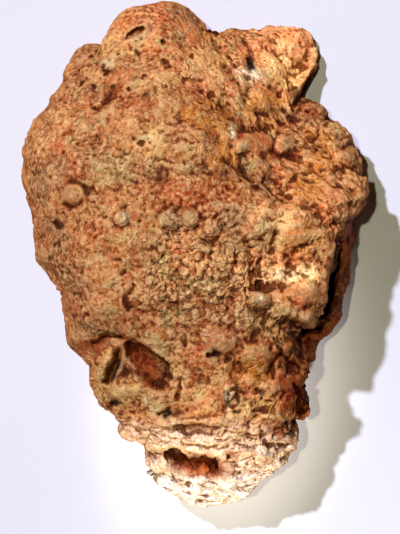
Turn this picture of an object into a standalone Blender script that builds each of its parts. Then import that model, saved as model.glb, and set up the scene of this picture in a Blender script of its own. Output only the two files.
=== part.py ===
"""A thunderegg: one whole, uncut nodule of rhyolite with a knobbly crust of fused spherulites.

The stone lies on its flattest side. +X is across it, +Y points to its broad, lobed end,
+Z is up, and the origin is on the surface it rests on, under the middle of its box.
The shape is worked out in millimetres and scaled to metres when it is written to the mesh.
"""

import itertools
import math

import bpy
import numpy as np

MM = 0.001
NAME = "thunderegg"
COLLECTION = "thunderegg_nodule"

# ---------------------------------------------------------------- driving dimensions, in mm
HALF_SIZE = np.array((60.0, 90.0, 37.0))   # the ellipsoid that the form starts from
REST_SINK = 1.0           # how far the rounded underside is cut by the resting plane
REST_HALF_SIZE = (19.0, 29.0)   # the flat that the stone rests on
BELLY_SQUARENESS = 2.2    # 2 is an ellipsoid, more is flatter below with steeper sides
SPHERE_DETAIL = 7
UPPER_CROWDING = 0.25     # draws the sphere's vertices towards the richer upper face
MESH_CELL = 1.0           # size of the cells that even the mesh out before it is thinned
KEEP_TRIANGLES = 0.070    # share of the evened mesh's triangles left on the finished solid

LUMP_SIZE = 15.0          # spacing of the crust's rounded lumps
LUMP_HEIGHT = 1.9
SHELL_SIZE = 22.0         # spacing of the places where the crust has flaked off in shells
SHELL_STEP = 1.5          # thickness of one such shell

# The plan outline at the girth, clockwise from the left lobe: x, y.
OUTLINE = (
    (-10.5, 90.0), (-6.0, 89.8), (-2.0, 87.8), (2.0, 84.5), (5.0, 80.8), (9.0, 79.8), (24.0, 81.0),
    (28.0, 82.0), (39.5, 81.2), (43.0, 78.0), (45.5, 72.0), (45.0, 66.5), (41.5, 60.5), (40.5, 56.5),
    (42.0, 54.5), (46.5, 52.5), (49.0, 49.5), (53.0, 46.5), (57.5, 40.0), (60.0, 34.0), (61.0, 24.0),
    (61.0, 18.0), (57.5, 9.5), (56.2, 1.0), (51.0, -25.0), (44.5, -32.5), (43.0, -38.5), (39.0, -44.5),
    (39.0, -47.5), (41.8, -52.0), (41.5, -56.0), (37.5, -61.0), (36.8, -69.0), (29.5, -76.0),
    (24.5, -82.5), (18.5, -86.7), (3.5, -89.7), (-2.0, -89.5), (-9.0, -85.0), (-13.0, -79.0),
    (-16.0, -76.5), (-16.5, -68.5), (-24.5, -64.5), (-26.5, -58.5), (-32.5, -54.0), (-36.3, -47.5),
    (-36.0, -40.5), (-44.2, -32.0), (-45.5, -21.5), (-46.0, -13.5), (-50.0, -9.5), (-54.8, -3.0),
    (-56.2, 8.0), (-56.0, 15.0), (-59.5, 23.0), (-59.0, 30.0), (-60.3, 35.0), (-59.0, 40.5),
    (-52.0, 51.0), (-46.5, 60.0), (-45.0, 64.5), (-41.0, 72.0), (-38.5, 74.0), (-32.5, 75.0),
    (-30.2, 78.0), (-28.2, 83.0), (-24.5, 86.5),
)

# The widest section, where the outline lies: x, y, its height, and how square the crown above it is.
GIRTH = (
    (-20, 86, 21, 2.3), (-10, 89, 22, 2.6), (-2, 86, 17, 2.4), (6, 79, 9, 2.3), (26, 80, 5, 2.2),
    (44, 66, 4, 2.1), (40, 55, 5, 2.1), (50, 46, 9, 2.3), (58, 33, 14, 2.4), (60, 20, 15, 3.4),
    (55, 8, 19, 6.5), (51, -12, 23, 6.5), (49, -27, 27, 5.0), (38, -45, 30, 3.4), (40, -55, 32, 3.0),
    (30, -72, 31, 2.8), (17, -87, 22, 2.6), (-2, -88, 20, 2.6), (-16, -72, 25, 2.8), (-30, -56, 29, 3.0),
    (-44, -28, 30, 3.2), (-55, 0, 30, 3.4), (-58, 30, 29, 3.4), (-46, 58, 27, 2.8), (-30, 77, 23, 2.2),
)
GIRTH_BAND = 14.0         # how far above and below it the outline's notches reach
NOTCH_SLANT = 0.012       # how far they wander sideways on the way, in radians per mm
BULGE_TRIM = 0.8          # share that is taken off whatever bulges out past the outline

# Height of the upper face before it rounds off to the sides: x, y, z.
CROWN = (
    (0, 10, 72), (-30, 20, 69), (30, 20, 70), (50, 36, 40), (50, 25, 50), (50, 12, 63), (50, 0, 60),
    (-48, 20, 65), (0, 42, 74), (-28, 48, 69), (22, 48, 64), (-22, 76, 57), (-6, 76, 54), (26, 72, 24),
    (37, 68, 12), (10, 68, 51), (40, 57, 19), (38, 44, 47), (-40, 62, 60), (0, -20, 70), (-26, -14, 68),
    (26, -20, 66), (42, -14, 60), (0, -44, 65), (26, -44, 59), (-26, -44, 58), (14, -60, 55),
    (-14, -60, 53), (4, -80, 44), (20, -74, 45),
)
CROWN_BLEND = 13.0        # how far each height reaches

# The right side: an upper rim overhangs a low shelf, from the shoulder to the waist.
SHELF_RIM = (
    (60.0, 19.5), (57.1, 14.7), (52.5, 11.2), (49.0, 4.9), (48.3, -2.8), (46.9, -9.1),
    (45.9, -16.1), (44.8, -22.4), (43.1, -25.9), (38.5, -26.6), (38.0, -31.0), (39.5, -40.0),
)
SHELF_TOP = 40.0
SHELF_EDGE = 20.0
SHELF_WANDER = 5.0        # how far the shelf's height wanders along the side
RIM_OVERHANG = 0.8        # how far the rim stands out over the foot of the wall

# The cleft along the foot of that wall: half width, depth, then the points it runs through.
CLEFT_HALF_WIDTH = 0.9
CLEFT_DEPTH = 10.0
CLEFT = (
    (48.6, 4.0), (49.2, -3.0), (47.8, -9.3), (46.9, -16.3), (45.6, -22.8), (43.4, -26.8), (37.8, -27.4),
)

# Openings with ragged rims: depth, rim width, the way they are dug under the rim (x, y), outline.
OPENINGS = (
    # the large hollow low on the left
    (7.5, 2.4, (0.1, 0.3), (
        (-22.0, -29.6), (-17.0, -31.5), (-13.5, -33.4), (-9.6, -35.6), (-7.0, -40.0), (-7.2, -45.0),
        (-9.4, -49.2), (-14.0, -48.0), (-17.6, -45.2), (-19.6, -41.5), (-23.4, -38.0), (-24.2, -32.5))),
    # the sunken ground to the left of it
    (2.6, 3.0, (0.0, 0.3), (
        (-36.6, -30.8), (-31.0, -27.6), (-24.0, -27.4), (-19.0, -30.0), (-20.0, -44.0), (-25.0, -46.5),
        (-31.5, -46.0), (-35.0, -41.0))),
    # the cave at the narrow end
    (7.5, 1.5, (0.0, 0.5), (
        (-11.0, -71.0), (-8.4, -68.6), (-4.0, -68.8), (-1.0, -71.2), (2.5, -71.6), (6.0, -70.4),
        (9.6, -71.4), (12.8, -75.0), (13.0, -79.6), (8.0, -79.2), (4.0, -77.6), (0.0, -78.8),
        (-4.5, -78.0), (-9.6, -76.6))),
    # the broken ground right of the cave
    (1.8, 3.0, (0.0, 0.0), (
        (24.0, -59.0), (28.0, -57.2), (32.0, -58.4), (34.0, -62.8), (31.0, -66.4), (25.6, -64.0))),
    # a broken place in the left lobe
    (3.4, 1.8, (0.0, 0.2), (
        (-24.6, 74.8), (-21.4, 78.6), (-17.6, 80.2), (-15.0, 78.0), (-17.6, 75.6), (-21.0, 74.2))),
    # two under the right lobe
    (1.4, 2.2, (0.0, 0.2), ((33.0, 54.0), (34.6, 59.6), (37.6, 61.0), (38.2, 57.0), (37.0, 53.4))),
    (3.6, 1.4, (0.0, 0.2), ((17.6, 65.0), (18.8, 69.0), (21.6, 69.6), (21.0, 66.4), (19.4, 64.4))),
    # the sunken ground behind the waist
    (2.6, 2.4, (0.0, 0.0), ((28.6, -31.6), (32.6, -31.0), (34.6, -37.0), (33.6, -43.0), (29.6, -42.0))),
)

# Domes and swellings: x, y, half length, half width, turn, height.
DOMES = (
    (-41.5, 20.0, 4.4, 4.2, 0, 2.2), (-41.8, 17.4, 5.6, 4.0, 0, 1.0), (-24.5, 11.5, 3.0, 2.8, 0, 1.6),
    (-8.2, 11.2, 4.2, 3.8, 10, 2.2), (-1.8, 11.6, 4.8, 4.4, -10, 2.6), (5.8, 8.0, 4.8, 4.2, 30, 1.8),
    (23.0, 38.5, 6.6, 4.2, 10, 1.8), (32.5, 39.0, 4.0, 3.2, 40, 1.4), (17.5, 37.5, 2.6, 3.2, 0, 1.4),
    (23.0, -16.2, 4.4, 3.9, 0, 2.4), (-31.0, -7.0, 7.0, 6.4, 0, 1.0), (-4.0, 36.0, 3.4, 2.6, 10, 0.7),
    (37.5, -13.0, 6.5, 5.0, -15, 2.0), (40.0, -22.0, 4.6, 3.6, 10, 2.4), (9.0, -29.5, 7.5, 6.0, -20, 1.8),
    (-28.8, -40.2, 5.4, 7.2, -18, 2.6), (35.0, 7.0, 6.0, 5.0, 20, 1.2),
    (27.0, 65.5, 7.0, 6.5, 0, 1.8), (24.0, 54.5, 6.5, 5.0, 10, 1.6), (-24.0, -48.0, 7.0, 3.0, 6, 1.2),
    (22.5, -36.5, 6.0, 6.0, 0, 1.6), (37.8, -35.0, 2.6, 4.6, 0, 1.8), (14.8, -10.0, 5.0, 3.0, 0, 0.8),
)

# Broad grooves: half width, depth, then the points they run through.
GROOVES = (
    (1.8, 1.5, ((-27.5, 57.0), (-29.5, 54.5), (-31.0, 51.0), (-33.5, 50.0))),
    (1.7, 0.8, ((15.5, 50.0), (15.0, 46.0), (16.0, 42.0), (14.5, 37.0), (12.0, 33.0))),
    (1.7, 0.9, ((18.5, 34.6), (22.0, 33.6), (26.0, 34.0), (30.0, 35.6), (34.0, 34.8), (36.0, 37.6))),
    (1.8, 1.0, ((39.0, 50.5), (34.5, 47.2), (30.0, 44.6), (24.0, 43.6), (18.0, 43.0))),
    (1.7, 1.3, ((22.0, -11.8), (26.0, -12.6), (32.0, -11.6), (37.0, -10.4))),
    (1.8, 1.8, ((34.5, -24.5), (38.0, -26.4), (42.0, -25.8))),
    (1.5, 3.6, ((-25.8, -35.2), (-27.8, -39.6), (-29.8, -44.8))),
    (1.7, 2.4, ((30.2, -33.0), (28.4, -37.5), (27.6, -42.0))),
    (1.7, 2.2, ((35.0, -39.5), (36.0, -46.0), (38.0, -50.0), (38.6, -55.0))),
    (2.8, 2.2, ((7.2, 82.0), (8.0, 74.0), (12.0, 66.0))),
    (2.2, 0.9, ((43.0, 54.5), (38.5, 54.0), (36.0, 51.0))),
    (2.0, 1.3, ((34.5, 59.0), (36.5, 64.0), (38.0, 67.0))),
    (1.8, 1.6, ((-36.0, -31.6), (-31.0, -28.8), (-25.5, -28.2))),
)

# Ledges: drop, fade, then the points of the edge; the ground is lower on the right of the path.
LEDGES = (
    (2.2, 7.0, ((13.0, 28.6), (8.0, 27.2), (3.0, 27.6), (-0.5, 28.4))),
    (1.2, 5.0, ((-7.5, 24.2), (-10.5, 24.8), (-14.0, 25.8))),
    (1.6, 6.0, ((-37.0, 16.2), (-41.5, 14.4), (-46.0, 16.0))),
    (1.0, 7.0, ((13.0, -66.4), (6.0, -66.2), (-2.0, -65.6), (-9.0, -65.4), (-14.0, -65.0))),
    (1.6, 8.0, ((32.0, -56.6), (20.0, -55.4), (6.0, -57.6), (-8.0, -57.8), (-22.0, -56.8))),
    (1.0, 7.0, ((37.0, -11.4), (30.0, -13.2), (21.0, -13.0))),
)


# ---------------------------------------------------------------- small helpers
def smooth_step(low, high, value):
    """0 below low, 1 above high, and a smooth rise between."""
    share = np.clip((value - low) / (high - low), 0.0, 1.0)
    return share * share * (3.0 - 2.0 * share)


def gradient_noise(points, size, seed):
    """Smooth noise, about -1 to 1, with swells about `size` across."""
    maker = np.random.default_rng(seed)
    table = maker.permutation(256)
    slopes = maker.normal(size=(256, 3))
    slopes /= np.linalg.norm(slopes, axis=1, keepdims=True)
    grid = points / size
    cell = np.floor(grid).astype(np.int64)
    part = grid - cell
    fade = part ** 3 * (part * (part * 6.0 - 15.0) + 10.0)
    total = np.zeros(len(points))
    for corner in itertools.product((0, 1), repeat=3):
        where = (cell + corner) & 255
        pick = table[(table[(table[where[:, 0]] + where[:, 1]) & 255] + where[:, 2]) & 255]
        weight = np.prod(np.where(corner, fade, 1.0 - fade), axis=1)
        total += weight * np.einsum("ij,ij->i", slopes[pick], part - corner)
    return total * 1.7


def bent(points, size, amount, seed):
    """The points moved about by smooth noise, so that what is drawn over them wanders."""
    return points + np.column_stack([amount * gradient_noise(points, size, seed + k) for k in range(3)])


def terraced(values, step):
    """Values drawn together into flat treads, `step` apart, with steep rises between."""
    level = values / step
    whole = np.floor(level)
    return step * (whole + smooth_step(0.32, 0.68, level - whole))


def reach_by_angle(path, azimuth, outside=None):
    """Distance of a star-shaped path from the origin, read at each azimuth."""
    corners = np.array(path)
    angles = np.arctan2(corners[:, 1], corners[:, 0])
    reaches = np.hypot(corners[:, 0], corners[:, 1])
    order = np.argsort(angles)
    if outside is None:
        return np.interp(azimuth, angles[order], reaches[order], period=2.0 * math.pi)
    return np.interp(azimuth, angles[order], reaches[order], left=outside, right=outside)


def path_gap(points, path):
    """Distance in plan to a path of straight runs, and the side: plus on its right."""
    best = np.full(len(points), np.inf)
    side = np.zeros(len(points))
    for (x0, y0), (x1, y1) in zip(path, path[1:]):
        run_x = x1 - x0
        run_y = y1 - y0
        length = math.hypot(run_x, run_y)
        from_x = points[:, 0] - x0
        from_y = points[:, 1] - y0
        along = np.clip((from_x * run_x + from_y * run_y) / length ** 2, 0.0, 1.0)
        gap = np.hypot(from_x - along * run_x, from_y - along * run_y)
        cross = (from_x * run_y - from_y * run_x) / length
        nearer = gap < best
        best[nearer] = gap[nearer]
        side[nearer] = np.sign(cross[nearer])
    return best, side


def inward_gap(points, outline):
    """Distance in plan to a closed outline: plus inside it, minus outside."""
    closed = (*outline, outline[0])
    inside = np.zeros(len(points), dtype=bool)
    for (x0, y0), (x1, y1) in zip(closed, closed[1:]):
        level = points[:, 1]
        crosses = (y0 > level) != (y1 > level)
        if y0 != y1:
            inside ^= crosses & (points[:, 0] < x0 + (level - y0) * (x1 - x0) / (y1 - y0))
    gap = path_gap(points, closed)[0]
    return np.where(inside, gap, -gap)


def oval_gap(points, x, y, half_length, half_width, turn):
    """Distance in plan from the middle of a turned oval: 1 on its edge."""
    angle = math.radians(turn)
    from_x = points[:, 0] - x
    from_y = points[:, 1] - y
    along = (from_x * math.cos(angle) + from_y * math.sin(angle)) / half_length
    across = (from_y * math.cos(angle) - from_x * math.sin(angle)) / half_width
    return np.hypot(along, across)


def vertex_normals(points, triangles):
    """Outward unit normals, weighted by the area of the triangles around each vertex."""
    corners = points[triangles]
    facing = np.cross(corners[:, 1] - corners[:, 0], corners[:, 2] - corners[:, 0])
    normals = np.empty_like(points)
    for axis in range(3):
        normals[:, axis] = np.bincount(
            triangles.ravel(), weights=np.repeat(facing[:, axis], 3), minlength=len(points))
    return normals / np.linalg.norm(normals, axis=1, keepdims=True)


def crowded_upwards(directions):
    """Unit directions drawn towards +Z, so that the upper face gets more of them."""
    height = directions[:, 2] + UPPER_CROWDING * (1.0 - directions[:, 2] ** 2)
    level = np.hypot(directions[:, 0], directions[:, 1])
    around = directions[:, :2] / np.maximum(level, 1e-9)[:, None]
    return np.column_stack((around * np.sqrt(np.clip(1.0 - height ** 2, 0.0, None))[:, None], height))


# ---------------------------------------------------------------- the form, large to small
def plain_form(directions):
    """The nodule without relief: the outline at the girth, a domed top and a rounder belly."""
    start = directions * HALF_SIZE
    azimuth = np.arctan2(start[:, 1], start[:, 0])
    start_reach = np.hypot(start[:, 0], start[:, 1])
    outline = reach_by_angle(OUTLINE, azimuth)
    softened = averaged_around(azimuth, 10, lambda turned: reach_by_angle(OUTLINE, turned))
    reach = outline + (softened - outline) * smooth_step(0.08, 0.45, np.abs(directions[:, 2]))

    girth = averaged_around(azimuth, 8, lambda turned: girth_reading(turned, 2))
    crown_squareness = averaged_around(azimuth, 8, lambda turned: girth_reading(turned, 3))
    squareness = np.where(start[:, 2] > 0.0, crown_squareness, BELLY_SQUARENESS)
    across = (start_reach / reach) ** squareness
    upright = (np.abs(start[:, 2]) / HALF_SIZE[2]) ** squareness
    scale = (across + upright) ** (-1.0 / squareness)
    plan = start[:, :2] * scale[:, None]
    rise = start[:, 2] * scale / HALF_SIZE[2]

    span = np.where(rise > 0.0, crown_height(plan) - girth, girth + REST_SINK)
    return np.column_stack((plan, girth + span * rise))


def averaged_around(azimuth, reach_degrees, reading):
    """A reading taken at each azimuth, averaged over so many degrees to both sides."""
    turns = np.radians(np.arange(-reach_degrees, reach_degrees + 1, 2))
    wrapped = [np.mod(azimuth + turn + math.pi, 2.0 * math.pi) - math.pi for turn in turns]
    return np.mean([reading(turned) for turned in wrapped], axis=0)


def girth_reading(azimuth, column):
    """A column of the girth's marks, read at each azimuth."""
    marks = np.array(GIRTH)
    angles = np.arctan2(marks[:, 1], marks[:, 0])
    order = np.argsort(angles)
    return np.interp(azimuth, angles[order], marks[order, column], period=2.0 * math.pi)


def crown_height(plan):
    """Height of the upper face at each plan point, blended from the crown's marks."""
    total = np.zeros(len(plan))
    weights = np.full(len(plan), 1e-9)
    for x, y, z in CROWN:
        weight = np.exp(-((plan[:, 0] - x) ** 2 + (plan[:, 1] - y) ** 2) / (2.0 * CROWN_BLEND ** 2))
        total += weight * z
        weights += weight
    return total / weights


def shelf_depth(azimuth):
    """How far the upper rim lies inside the outline, all round."""
    outline = reach_by_angle(OUTLINE, azimuth)
    return outline - np.minimum(reach_by_angle(SHELF_RIM, azimuth, outside=999.0), outline)


def pull_in_shelf(points):
    """Draws the right side's upper part inwards, which leaves a low shelf below a rim."""
    azimuth = np.arctan2(points[:, 1], points[:, 0])
    depth = shelf_depth(azimuth)
    height = points[:, 2] + SHELF_WANDER * gradient_noise(points, 14.0, 17)
    above = smooth_step(SHELF_EDGE, SHELF_TOP, height)
    undercut = RIM_OVERHANG * np.exp(-((points[:, 2] - SHELF_TOP - 3.0) / 5.0) ** 2)
    pull = (depth * above + undercut * smooth_step(0.5, 3.0, depth)) / reach_by_angle(OUTLINE, azimuth)
    moved = points.copy()
    moved[:, :2] *= (1.0 - pull)[:, None]
    return moved


def cleft_share(points):
    """1 in the middle of the cleft at the foot of the right-hand wall, 0 away from it."""
    wandering = bent(points, 7.0, 0.8, 71)
    near = np.exp(-(path_gap(wandering, CLEFT)[0] / CLEFT_HALF_WIDTH) ** 2)
    below = 1.0 - smooth_step(SHELF_EDGE - 6.0, SHELF_EDGE, points[:, 2])
    above = smooth_step(SHELF_TOP + 6.0, SHELF_TOP + 16.0, points[:, 2])
    return near * (1.0 - below - above)


def swell(points, normals):
    """Broad swells and hollows all over, calmed where the stone rests."""
    height = 2.2 * gradient_noise(points, 42.0, 11)
    height += 1.5 * gradient_noise(points, 21.0, 12)
    height += 1.0 * gradient_noise(points, 11.0, 13)
    height *= 1.0 - resting(points)
    return points + normals * height[:, None]


def resting(points):
    """1 on the flat that the stone rests on, falling to 0 around it and everywhere above."""
    gap = oval_gap(points, 0.0, 0.0, REST_HALF_SIZE[0], REST_HALF_SIZE[1], 0.0)
    return (1.0 - smooth_step(0.9, 1.5, gap)) * (1.0 - smooth_step(4.0, 10.0, points[:, 2]))


def refit_outline(points):
    """Brings the widest section back to the outline after the swells have moved it."""
    bins = 360
    azimuth = np.arctan2(points[:, 1], points[:, 0])
    reach = np.hypot(points[:, 0], points[:, 1])
    index = ((azimuth + math.pi) / (2.0 * math.pi) * bins).astype(np.int64) % bins
    widest = np.zeros(bins)
    np.maximum.at(widest, index, reach)
    middles = (np.arange(bins) + 0.5) / bins * 2.0 * math.pi - math.pi
    widest = np.mean([np.roll(widest, step) for step in (-2, -1, 0, 1, 2)], axis=0)

    def ratio_at(turned):
        return reach_by_angle(OUTLINE, turned) / np.interp(turned, middles, widest, period=2.0 * math.pi)

    softened = averaged_around(azimuth, 10, ratio_at)
    above = points[:, 2] - girth_reading(azimuth, 2)
    slant = NOTCH_SLANT * above * gradient_noise(points, 26.0, 15)
    near_girth = np.exp(-(above / GIRTH_BAND) ** 2)
    ratio = softened + (ratio_at(azimuth + slant) - softened) * near_girth
    share = smooth_step(0.55, 0.95, reach / np.interp(azimuth, middles, widest, period=2.0 * math.pi))
    scale = 1.0 + (ratio - 1.0) * share
    limit = averaged_around(azimuth, 2, lambda turned: reach_by_angle(OUTLINE, turned))
    scale -= BULGE_TRIM * np.clip(scale - limit / np.maximum(reach, 1e-6), 0.0, None)
    fitted = points.copy()
    fitted[:, :2] *= scale[:, None]
    return fitted


def openings_dug(points):
    """How each point moves where openings are dug, and how far inside an opening it lies."""
    wandering = bent(points, 4.0, 1.0, 23)
    move = np.zeros_like(points)
    inside = np.zeros(len(points))
    for depth, rim, (under_x, under_y), outline in OPENINGS:
        share = smooth_step(0.0, rim, inward_gap(wandering, outline))
        move += share[:, None] * np.array((under_x, under_y, -1.0)) * depth
        inside = np.maximum(inside, share)
    return move, inside


def domes_lift(points, domes):
    """Lift of a set of domes, each with a crease on its lower right, and where the domes are."""
    wandering = bent(points, 5.0, 0.7, 27)
    lift = np.zeros(len(points))
    inside = np.zeros(len(points))
    for x, y, half_length, half_width, turn, height in domes:
        gap = oval_gap(wandering, x, y, half_length, half_width, turn)
        dome = np.clip(1.0 - gap ** 2, 0.0, None) ** 1.2
        away = smooth_step(-0.2, 1.2, (points[:, 0] - x - points[:, 1] + y) / (half_length + half_width))
        crease = np.exp(-((gap - 1.12) / 0.22) ** 2) * away
        lift += height * (dome - 0.2 * crease)
        inside = np.maximum(inside, 1.0 - smooth_step(0.8, 1.1, gap))
    return lift, inside


def ledges_lift(points, ledges):
    """Lift of a set of ledges: high on the left of each path, low on its right."""
    wandering = bent(points, 4.0, 1.2, 31)
    lift = np.zeros(len(points))
    for drop, fade, path in ledges:
        gap, side = path_gap(wandering, path)
        low = np.where(side > 0.0, np.exp(-gap / fade) * smooth_step(0.0, 1.4, gap), 0.0)
        high = np.where(side > 0.0, 0.0, np.exp(-gap / fade))
        ends = np.minimum(*(np.hypot(*(wandering[:, :2] - path[end]).T) for end in (0, -1)))
        lift += 0.5 * drop * (high - low) * smooth_step(0.0, 5.0, ends)
    return lift


def grooves_lift(points, grooves):
    """Lift, below zero, of a set of grooves."""
    wandering = bent(points, 4.0, 0.9, 35)
    lift = np.zeros(len(points))
    for half_width, depth, path in grooves:
        lift -= depth * np.exp(-(path_gap(wandering, path)[0] / half_width) ** 2)
    return lift


def crust_lumps(points, normals, calm, facing_up):
    """Lumps with creases between them, and places where the crust has flaked off in shells."""
    right = smooth_step(0.0, 26.0, points[:, 0])
    low_end = smooth_step(-50.0, -62.0, points[:, 1])
    bumpy = np.maximum(0.5 + 0.3 * right, 0.8 - 0.8 * facing_up)
    place = bent(points, 10.0, 2.4, 41)
    height = LUMP_HEIGHT * np.abs(gradient_noise(place, LUMP_SIZE, 44))
    height += 0.6 * LUMP_HEIGHT * np.abs(gradient_noise(place, 0.55 * LUMP_SIZE, 45))
    height = (height - 0.5 * LUMP_HEIGHT) * bumpy
    shells = terraced(2.6 * SHELL_STEP * gradient_noise(place, SHELL_SIZE, 46), SHELL_STEP)
    height += shells * np.maximum(0.12 + 0.38 * right, 0.7 * low_end)
    height += 2.4 * (1.0 - facing_up) * gradient_noise(place, 1.4 * LUMP_SIZE, 47)
    height *= (1.0 - 0.8 * calm) * (1.0 - resting(points))
    return points + normals * height[:, None]


def sculpt(directions, triangles):
    """The stone's surface in millimetres from unit directions, and where small relief is calmed."""
    points = plain_form(directions)
    points = swell(points, vertex_normals(points, triangles))
    points = pull_in_shelf(refit_outline(points))
    points[:, 2] -= CLEFT_DEPTH * cleft_share(points)
    facing_up = smooth_step(0.1, 0.5, vertex_normals(points, triangles)[:, 2])
    move, dug = openings_dug(points)
    lift, domed = domes_lift(points, DOMES)
    lift += ledges_lift(points, LEDGES) + grooves_lift(points, GROOVES)
    move[:, 2] += lift
    calm = np.maximum(0.7 * dug, domed) * facing_up
    points = points + move * facing_up[:, None]
    points = crust_lumps(points, vertex_normals(points, triangles), calm, facing_up)
    return refit_outline(points), calm


# ---------------------------------------------------------------- Blender objects
def clear_scene():
    for item in list(bpy.data.objects):
        bpy.data.objects.remove(item, do_unlink=True)


def stone_material():
    material = bpy.data.materials.new("iron_stained_rhyolite")
    material.use_nodes = True
    shader = material.node_tree.nodes["Principled BSDF"]
    shader.inputs["Base Color"].default_value = (0.45, 0.22, 0.10, 1.0)
    shader.inputs["Roughness"].default_value = 0.88
    shader.inputs["Metallic"].default_value = 0.0
    return material


def make_stone(collection):
    bpy.ops.mesh.primitive_ico_sphere_add(subdivisions=SPHERE_DETAIL, radius=1.0)
    stone = bpy.context.object
    stone.name = NAME
    shape_mesh(stone.data)
    even = stone.modifiers.new("even_mesh", "REMESH")
    even.mode = "VOXEL"
    even.voxel_size = MESH_CELL * MM
    thin = stone.modifiers.new("thinned_mesh", "DECIMATE")
    thin.ratio = KEEP_TRIANGLES
    finished = bpy.data.meshes.new_from_object(stone.evaluated_get(bpy.context.evaluated_depsgraph_get()))
    stone.modifiers.clear()
    stone.data = finished
    finished.name = NAME
    settle(finished)
    finished.shade_smooth()
    finished.materials.append(stone_material())
    for owner in list(stone.users_collection):
        owner.objects.unlink(stone)
    collection.objects.link(stone)


def shape_mesh(mesh):
    """Moves every vertex of the unit sphere to the stone's surface."""
    flat = np.empty(len(mesh.vertices) * 3)
    mesh.vertices.foreach_get("co", flat)
    corners = np.empty(len(mesh.loops), dtype=np.int64)
    mesh.loops.foreach_get("vertex_index", corners)
    directions = flat.reshape(-1, 3)
    directions /= np.linalg.norm(directions, axis=1, keepdims=True)
    points = sculpt(crowded_upwards(directions), corners.reshape(-1, 3))[0]
    mesh.vertices.foreach_set("co", (points * MM).ravel())
    mesh.update()


def settle(mesh):
    """Sets the stone on the resting plane, with its box centred on the origin."""
    flat = np.empty(len(mesh.vertices) * 3)
    mesh.vertices.foreach_get("co", flat)
    points = flat.reshape(-1, 3)
    points[:, :2] -= (points[:, :2].max(axis=0) + points[:, :2].min(axis=0)) / 2.0
    points[:, 2] = np.maximum(points[:, 2], 0.0)
    mesh.vertices.foreach_set("co", points.ravel())
    mesh.update()


def main():
    clear_scene()
    collection = bpy.data.collections.new(COLLECTION)
    bpy.context.scene.collection.children.link(collection)
    make_stone(collection)


main()
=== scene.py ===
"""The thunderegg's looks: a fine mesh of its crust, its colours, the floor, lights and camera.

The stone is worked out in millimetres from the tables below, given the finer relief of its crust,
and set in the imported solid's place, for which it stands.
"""

import itertools
import math

import bpy
import numpy as np
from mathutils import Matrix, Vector


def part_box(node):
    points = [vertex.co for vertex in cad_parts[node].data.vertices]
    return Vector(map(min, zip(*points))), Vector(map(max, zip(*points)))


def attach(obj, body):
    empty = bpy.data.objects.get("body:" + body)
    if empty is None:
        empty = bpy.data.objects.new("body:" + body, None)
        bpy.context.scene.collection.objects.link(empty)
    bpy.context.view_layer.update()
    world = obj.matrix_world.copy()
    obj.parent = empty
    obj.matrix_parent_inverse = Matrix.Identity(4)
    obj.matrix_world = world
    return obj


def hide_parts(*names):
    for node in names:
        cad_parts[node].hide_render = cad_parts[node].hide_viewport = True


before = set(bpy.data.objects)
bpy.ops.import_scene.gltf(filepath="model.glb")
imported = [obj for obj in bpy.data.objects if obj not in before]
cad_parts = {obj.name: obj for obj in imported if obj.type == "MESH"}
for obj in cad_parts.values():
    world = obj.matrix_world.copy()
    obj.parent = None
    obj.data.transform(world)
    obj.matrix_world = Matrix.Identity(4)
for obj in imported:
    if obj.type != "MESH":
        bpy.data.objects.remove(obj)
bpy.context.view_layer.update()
NODE = "thunderegg"
NODE_LOW, NODE_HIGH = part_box(NODE)

MM = 0.001

# ------------ driving dimensions, in mm
HALF_SIZE = np.array((60.0, 90.0, 37.0))  # the ellipsoid that the form starts from
REST_SINK = 1.0  # how far the rounded underside is cut by the resting plane
REST_HALF_SIZE = (19.0, 29.0)  # the flat that the stone rests on
BELLY_SQUARENESS = 2.2  # 2 is an ellipsoid, more is flatter below with steeper sides
UPPER_CROWDING = 0.25  # draws the sphere's vertices towards the richer upper face

LUMP_SIZE = 15.0  # spacing of the crust's rounded lumps
LUMP_HEIGHT = 1.9
SHELL_SIZE = 22.0  # spacing of the places where the crust has flaked off in shells
SHELL_STEP = 1.5  # thickness of one such shell

# The plan outline at the girth, clockwise from the left lobe: x, y.
OUTLINE = (
    (-10.5, 90), (-6, 89.8), (-2, 87.8), (2, 84.5), (5, 80.8), (9, 79.8), (24, 81), (28, 82),
    (39.5, 81.2), (43, 78), (45.5, 72), (45, 66.5), (41.5, 60.5), (40.5, 56.5), (42, 54.5),
    (46.5, 52.5), (49, 49.5), (53, 46.5), (57.5, 40), (60, 34), (61, 24), (61, 18), (57.5, 9.5),
    (56.2, 1), (51, -25), (44.5, -32.5), (43, -38.5), (39, -44.5), (39, -47.5), (41.8, -52),
    (41.5, -56), (37.5, -61), (36.8, -69), (29.5, -76), (24.5, -82.5), (18.5, -86.7), (3.5, -89.7),
    (-2, -89.5), (-9, -85), (-13, -79), (-16, -76.5), (-16.5, -68.5), (-24.5, -64.5),
    (-26.5, -58.5), (-32.5, -54), (-36.3, -47.5), (-36, -40.5), (-44.2, -32), (-45.5, -21.5),
    (-46, -13.5), (-50, -9.5), (-54.8, -3), (-56.2, 8), (-56, 15), (-59.5, 23), (-59, 30),
    (-60.3, 35), (-59, 40.5), (-52, 51), (-46.5, 60), (-45, 64.5), (-41, 72), (-38.5, 74),
    (-32.5, 75), (-30.2, 78), (-28.2, 83), (-24.5, 86.5),
)

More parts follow.
